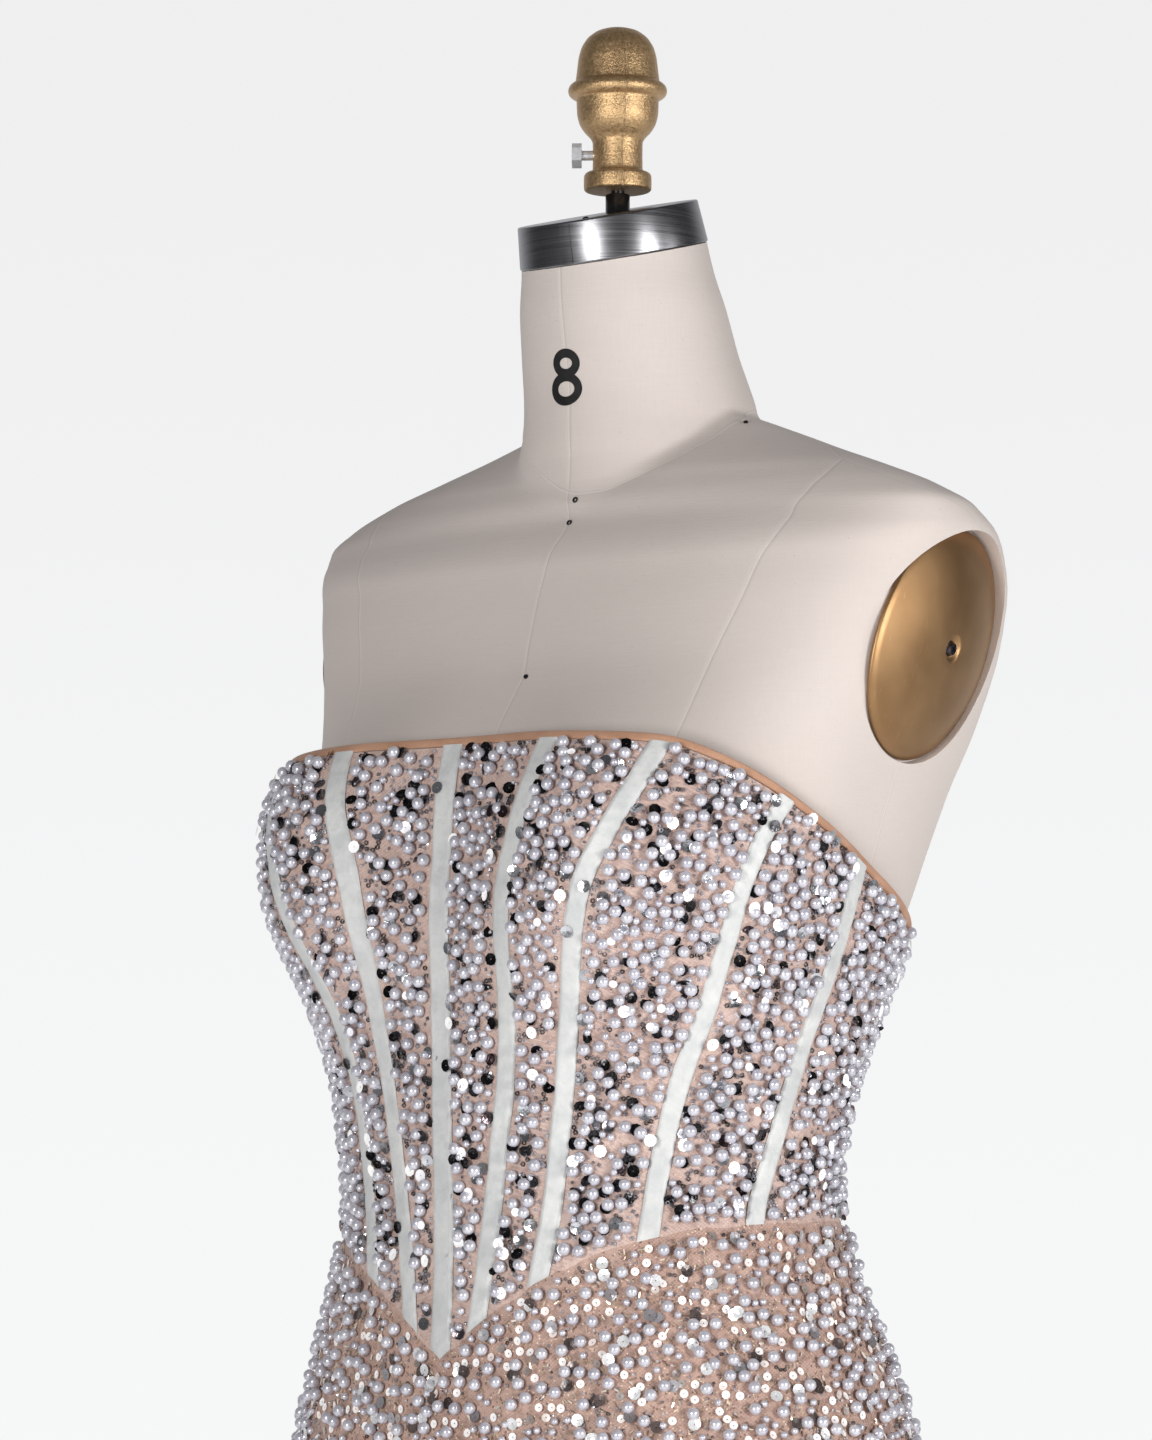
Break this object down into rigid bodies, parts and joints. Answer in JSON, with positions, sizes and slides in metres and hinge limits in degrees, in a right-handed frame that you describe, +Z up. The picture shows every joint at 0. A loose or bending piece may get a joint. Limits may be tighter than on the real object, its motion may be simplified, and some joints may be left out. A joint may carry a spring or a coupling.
{
  "type": "strapless mini dress on a dress form",
  "caption": "Short fitted strapless dress, boned and beaded, zipped at the back, worn by a limbless linen dress form on a pole with a round base.",
  "frame": {"origin": "on the floor, under the pole, at the middle of the round base", "axes": "+Z is up; the dress faces -Y; +X is the wearer's left side"},
  "size_m": [0.42, 0.42, 1.5982],
  "materials": {
    "beaded_net": "fine nude net on a nude lining, beaded and sequinned all over",
    "boning_channel": "white satin tape, soft sheen, slightly quilted by its stitching",
    "binding": "narrow tan satin binding",
    "skirt_net": "warm nude net over lining, with pearls, disc sequins and small beads spaced out",
    "zip_tape": "nude woven zip tape",
    "zip_metal": "bright zip metal",
    "linen": "plain natural linen, woven with slubs",
    "arm_plate_gold": "satin gold, dished round its screw",
    "screw_metal": "bright plated steel",
    "neck_steel": "bright brushed steel",
    "black_rod": "black gloss",
    "knob_gold": "cast and painted old gold, rough skin",
    "stand_steel": "black satin paint on steel tube",
    "stand_base": "black satin paint on cast iron"
  },
  "bodies": {
    "root": {"bodice_centre_front_left": "beaded_net", "bodice_cup_front_left": "beaded_net", "bodice_cup_side_left": "beaded_net", "bodice_side_front_left": "beaded_net", "bodice_side_back_left": "beaded_net", "bodice_shoulder_blade_left": "beaded_net", "bodice_centre_back_left": "beaded_net", "bodice_centre_front_right": "beaded_net", "bodice_cup_front_right": "beaded_net", "bodice_cup_side_right": "beaded_net", "bodice_side_front_right": "beaded_net", "bodice_side_back_right": "beaded_net", "bodice_shoulder_blade_right": "beaded_net", "bodice_centre_back_right": "beaded_net", "bone_centre_front": "boning_channel", "bone_cup_left": "boning_channel", "bone_apex_left": "boning_channel", "bone_flank_left": "boning_channel", "bone_side_left": "boning_channel", "bone_blade_left": "boning_channel", "bone_back_left": "boning_channel", "bone_cup_right": "boning_channel", "bone_apex_right": "boning_channel", "bone_flank_right": "boning_channel", "bone_side_right": "boning_channel", "bone_blade_right": "boning_channel", "bone_back_right": "boning_channel", "neckline_binding": "binding", "skirt_front": "skirt_net", "skirt_back_left": "skirt_net", "skirt_back_right": "skirt_net", "zip_tape": "zip_tape", "zip_chain": "zip_metal", "zip_slider": "zip_metal", "form_body": "linen", "arm_plate_left": "arm_plate_gold", "arm_plate_right": "arm_plate_gold", "arm_screw_left": "screw_metal", "arm_screw_right": "screw_metal", "thumb_screw": "screw_metal", "neck_band": "neck_steel", "top_rod": "black_rod", "cast_knob": "knob_gold", "stand_pole": "stand_steel", "stand_base": "stand_base"},
    "pull": {"zip_pull": "zip_metal"}
  },
  "joints": [
    {"name": "zip_pull_hinge", "type": "hinge", "parent": "root", "child": "pull", "pos_m": [0, 0.09081, 1.1249], "axis": [1, 0, 0], "range_deg": [-15, 150]}
  ]
}
